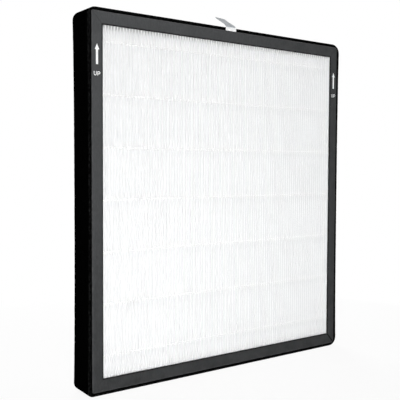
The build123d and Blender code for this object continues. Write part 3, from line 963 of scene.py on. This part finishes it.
# %% Arrow and letters
INK_THICKNESS = 0.04 * MM
MARK_OFFSET = 166.2 * MM  # from the middle of the frame to a mark's centre line
ARROW_TIP = 152.3 * MM  # heights above the middle of the frame
ARROW_HEAD = 147.0 * MM
ARROW_FOOT = 132.9 * MM
ARROW_HEAD_WIDTH = 4.8 * MM
ARROW_SHAFT_WIDTH = 2.3 * MM
ARROW_POINT_WIDTH = 0.1 * MM
ARROW_STEP = 0.02 * MM  # the head's flat lower edge, so that no two rings lie on each other
WORD_FOOT = 122.2 * MM
LETTER_HEIGHT = 4.0 * MM
LETTER_WIDTH = 3.0 * MM
LETTER_GAP = 0.9 * MM
LETTER_BOWL = 1.05 * MM  # radius of the P's bowl, to the middle of the stroke
STROKE = 0.6 * MM
STROKE_STEP = 0.1 * MM


def ink_strip(name, left, right, finish):
    """A thin slab between two lines: distance along them and a turn round left front, right front,
    right rear and left rear are the two parameters."""
    front, rear = frame_low.y - INK_THICKNESS, frame_low.y
    corners = ((left, front), (right, front), (right, rear), (left, rear))
    points = np.stack([np.insert(edge, 1, y, axis=1) for edge, y in corners], axis=1)
    mark = add_piece(name, points, tube_faces(len(left), len(corners)), crease=20.0)
    dress(mark, finish)


def ink_stroke(name, start, heading, legs):
    """A pen line of even width: the walked path moved half a stroke to each side, square to its
    direction."""
    knots = path_knots(heading, legs)
    travel = np.linspace(0, knots[0][-1], math.ceil(knots[0][-1] / STROKE_STEP))[:, None]
    path = walk(np.array(start), knots, travel)[:, 0]
    direction = np.gradient(path, axis=0)
    aside = direction[:, ::-1] * (-1, 1) / np.hypot(*direction.T)[:, None] * STROKE / 2
    ink_strip(name, path + aside, path - aside, ink)


def print_marks(side, centre):
    """One arrow, one U and one P round a centre line."""
    middle = np.array((centre, frame_middle.z))
    heights = (ARROW_FOOT, ARROW_HEAD, ARROW_HEAD + ARROW_STEP, ARROW_TIP)
    widths = (ARROW_SHAFT_WIDTH, ARROW_SHAFT_WIDTH, ARROW_HEAD_WIDTH, ARROW_POINT_WIDTH)
    edge = np.column_stack((np.array(widths) / 2, heights))
    ink_strip(f"arrow_{side}", middle + edge * (-1, 1), middle + edge, ink)
    bowl = (LETTER_WIDTH - STROKE) / 2
    foot = frame_middle.z + WORD_FOOT
    tall = LETTER_HEIGHT - STROKE / 2
    u_start = (centre - LETTER_GAP / 2 - LETTER_WIDTH + STROKE / 2, foot + LETTER_HEIGHT)
    u_legs = [(tall - bowl, 0.0), (np.pi * bowl, 180.0), (tall - bowl, 0.0)]
    ink_stroke(f"letter_u_{side}", u_start, -90.0, u_legs)
    p_start = (centre + LETTER_GAP / 2 + STROKE / 2, foot)
    run = LETTER_WIDTH - STROKE - LETTER_BOWL
    p_legs = [
        (tall - STROKE / 2, 0.0),
        (STROKE / 2 * np.pi / 2, -90.0),
        (run - STROKE / 2, 0.0),
        (np.pi * LETTER_BOWL, -180.0),
        (run - STROKE / 2, 0.0),
    ]
    ink_stroke(f"letter_p_{side}", p_start, 90.0, p_legs)


for mark_side, sign in (("left", -1), ("right", 1)):
    print_marks(mark_side, sign * MARK_OFFSET)

# %% [markdown]
# ## The open corner
# At the lower right the two rails don't quite meet, and the joint shows as a dark line. The solids have
# the gap, but looking into it shows pale board and glue. A thin, nearly black matt sliver over the mouth
# of the gap paints the shade inside it as a dark line. It could be a patch in the board's material, but a
# matt sliver has none of the board's sheen and stays dark.

# %% Open corner
# the sliver's colours paint the shade inside the open mitre
GAP_SHADE_TONES = (grey(0.001), grey(0.005))
GAP_SHADE_CLOUDS = 700.0
GAP_SHADE_FIBRES = 1500.0
GAP_SHADE_ROUGH = (0.88, 0.98)
GAP_SHADE_RELIEF = 0.02 * MM
SLIVER_HALF_WIDTH = 0.6 * MM
SLIVER_ENDS = (0.03, 0.93)  # shares of the way from the window to the frame's outer corner


def make_gap_shade():
    """Painted shade for the open gap: nearly black and quite matt, cloudy and with raised fibres."""
    material, tree, shader, place = start_finish("raw_board")
    tone = cloudy(tree, place, GAP_SHADE_CLOUDS, *GAP_SHADE_TONES)
    fibres = speckled(tree, FINE_FIBRES, place, GAP_SHADE_FIBRES)
    set_surface(tree, shader, tone["Color"], between(tree, tone["Mask"], *GAP_SHADE_ROUGH), fibres, GAP_SHADE_RELIEF)
    return material


def open_corner(name):
    """A thin slab along the mitre, from near the window's corner to near the frame's. It is wider than
    the gap by the painted shade lines beside it."""
    window = np.array((frame_middle.x + window_half_x, frame_middle.z - window_half_z))
    outer = np.array((frame_high.x, frame_low.z))
    along = outer - window
    aside = along[::-1] * (-1, 1) / np.hypot(*along) * SLIVER_HALF_WIDTH
    middle = window + np.array(SLIVER_ENDS)[:, None] * along
    ink_strip(name, middle + aside, middle - aside, make_gap_shade())


open_corner("open_corner")

# %% [markdown]
# ## Floor, light and background
# The filter stands on a white table in front of white. The white comes from what the camera and mirrors
# see, not from more light: floor and world show plain white to those rays and light the filter at an
# ordinary level. The floor keeps part of its own shading, so the filter still has a shadow to stand on.

# %% Floor
FLOOR_RADIUS = 6.0
FLOOR_HOLE = 0.5 * MM  # radius of the innermost ring, closed by one face
FLOOR_DROP = 0.15 * MM
FLOOR_SPOKES = 48
FLOOR_SHADE = grey(0.94)
SHADOW_SHARE = 0.08  # how much of the floor's own shading shows
SHADOW_REACH = (0.2, 0.5)  # metres from the middle, where it starts to fade and where it is gone


def seen_directly(tree):
    """1 for rays from the camera, from a glossy surface or through glass, and 0 for rays that carry
    light."""
    rays = add_node(tree, "ShaderNodeLightPath").outputs
    mirrors = calculate(tree, "MAXIMUM", rays["Is Glossy Ray"], rays["Is Transmission Ray"])
    return calculate(tree, "MAXIMUM", rays["Is Camera Ray"], mirrors)


def make_floor_white():
    """Plain white to the camera, mixed near the filter with a share of the floor's own shading."""
    material = bpy.data.materials.new("floor_white")
    material.use_nodes = True
    tree = material.node_tree
    tree.nodes.remove(tree.nodes["Principled BSDF"])
    place = add_node(tree, "ShaderNodeTexCoord").outputs["Object"]
    far = add_node(tree, "ShaderNodeVectorMath", {0: place}, operation="LENGTH").outputs["Value"]
    plain = calculate(tree, "MAXIMUM", fade(tree, far, *SHADOW_REACH), 1.0 - SHADOW_SHARE)
    share_white = calculate(tree, "MULTIPLY", seen_directly(tree), plain)
    shaded = add_node(tree, "ShaderNodeBsdfDiffuse", {"Color": FLOOR_SHADE}).outputs[0]
    white = add_node(tree, "ShaderNodeEmission", {"Color": grey(1.0), "Strength": 1.0}).outputs[0]
    both = add_node(tree, "ShaderNodeMixShader", {0: share_white, 1: shaded, 2: white}).outputs[0]
    tree.links.new(both, tree.nodes["Material Output"].inputs["Surface"])
    return material


def make_floor():
    """A disc: radius and angle are the two parameters."""
    radius = np.array((FLOOR_HOLE, FLOOR_RADIUS))[:, None]
    angle = np.linspace(0, 2 * np.pi, FLOOR_SPOKES, endpoint=False)
    points = np.dstack((radius * np.cos(angle), radius * np.sin(angle), 0 * radius * angle - FLOOR_DROP))
    mesh = bpy.data.meshes.new("floor")
    faces = grid_quads(*points.shape[:2], closed=True).tolist() + [list(range(FLOOR_SPOKES))]
    mesh.from_pydata(points.reshape(-1, 3).tolist(), [], faces)
    mesh.materials.append(make_floor_white())
    floor = bpy.data.objects.new("floor", mesh)
    bpy.context.scene.collection.objects.link(floor)


make_floor()
print("floor at", round(-FLOOR_DROP / MM, 2), "mm")

# %% World and lamps
WORLD_LEVEL = 0.22
LAMPS = {  # place, aim, width and height in metres, and watts
    "key": ((-0.375, -0.638, 0.055), (0.05, 0.0, -0.02), (0.33, 0.1), 3.32),
    "overhead": ((-0.52, -0.66, 1.35), (0.0, 0.0, 0.2), (0.2, 0.2), 5.9),
    "rear": ((0.5, 1.1, 0.6), (0.0, 0.0, 0.19), (0.7, 0.7), 14.0),
    "upper_sheen": ((0.38, -1.15, 0.55), (-0.12, 0.0, 0.3), (0.7, 0.7), 24.0),
    "lower_sheen": ((0.1, -0.85, 0.07), (-0.12, 0.0, 0.02), (0.5, 0.1), 3.5),
}
SHEEN_LAMPS = ("upper_sheen", "lower_sheen")  # these show only as gloss
SHEEN_TINT = (0.94, 0.97, 1.0)


def make_world(level):
    """Even light from all round at that level, and plain white where it is seen directly."""
    world = bpy.data.worlds.new("studio")
    world.use_nodes = True
    bpy.context.scene.world = world
    tree = world.node_tree
    light = tree.nodes["Background"]
    light.inputs["Color"].default_value = grey(1.0)
    light.inputs["Strength"].default_value = level
    white = add_node(tree, "ShaderNodeBackground", {"Color": grey(1.0), "Strength": 1.0})
    shaders = {0: seen_directly(tree), 1: light.outputs[0], 2: white.outputs[0]}
    mix = add_node(tree, "ShaderNodeMixShader", shaders)
    tree.links.new(mix.outputs[0], tree.nodes["World Output"].inputs["Surface"])


def add_softbox(name, place, aim, size, watts):
    """A lamp of that width and height at place that faces aim. It lights and reflects, but the camera
    doesn't see it."""
    lamp = bpy.data.objects.new(name, bpy.data.lights.new(name, "AREA"))
    lamp.data.shape = "RECTANGLE"
    lamp.data.size, lamp.data.size_y = size
    lamp.data.energy = watts
    lamp.location = place
    lamp.rotation_euler = (Vector(aim) - Vector(place)).to_track_quat("-Z", "Y").to_euler()
    lamp.visible_camera = False
    if name in SHEEN_LAMPS:
        lamp.visible_diffuse = False
        lamp.data.color = SHEEN_TINT
    bpy.context.scene.collection.objects.link(lamp)


make_world(WORLD_LEVEL)
for lamp_name, settings in LAMPS.items():
    add_softbox(lamp_name, *settings)
bpy.context.scene.view_settings.view_transform = "Standard"
